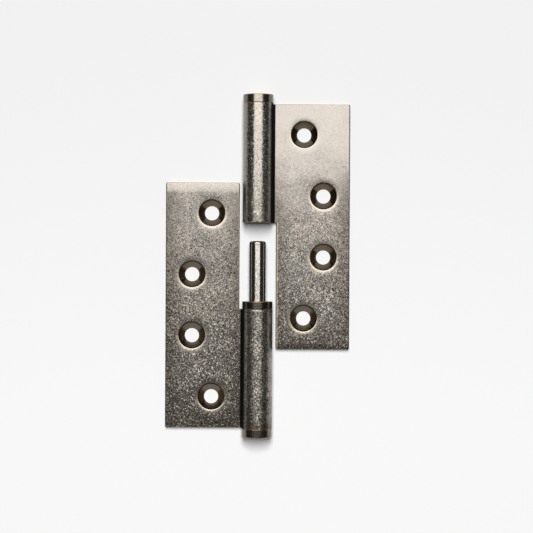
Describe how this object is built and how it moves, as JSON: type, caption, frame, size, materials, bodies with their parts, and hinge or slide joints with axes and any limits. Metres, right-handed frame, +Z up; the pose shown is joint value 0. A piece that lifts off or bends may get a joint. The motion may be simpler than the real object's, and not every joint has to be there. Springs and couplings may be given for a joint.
{
  "type": "lift-off hinge",
  "caption": "Lift-off door hinge drawn apart: two rolled steel leaves with countersunk holes, a pin with a thrust ring, a socket knuckle and turned end caps.",
  "frame": {"origin": "on the table under the pin's axis, halfway along the whole drawn-apart hinge", "axes": "+Y along the pin, from the pin half's cap to the socket half's cap, which is upwards on a door; +X from the pin half's leaf to the socket half's leaf; +Z up from the table, out of the countersunk faces"},
  "size_m": [0.075, 0.1392, 0.0123],
  "materials": {
    "leaf": "antique nickel plate, relieved, fine mottled grain",
    "pin": "polished steel",
    "ring": "dark antique nickel, satin",
    "cap": "dark antique nickel, satin"
  },
  "bodies": {
    "pin_half": {"frame_leaf": "leaf", "hinge_pin": "pin", "lower_cap": "cap"},
    "ring": {"thrust_ring": "ring"},
    "socket_half": {"door_leaf": "leaf", "upper_cap": "cap"}
  },
  "joints": [
    {"name": "swing", "type": "hinge", "parent": "pin_half", "child": "ring", "pos_m": [0, 0, 0.00615], "axis": [0, -1, 0], "range_deg": [-90, 180]},
    {"name": "lift", "type": "slide", "parent": "ring", "child": "socket_half", "axis": [0, 1, 0], "range_m": [-0.03205, 0]}
  ]
}
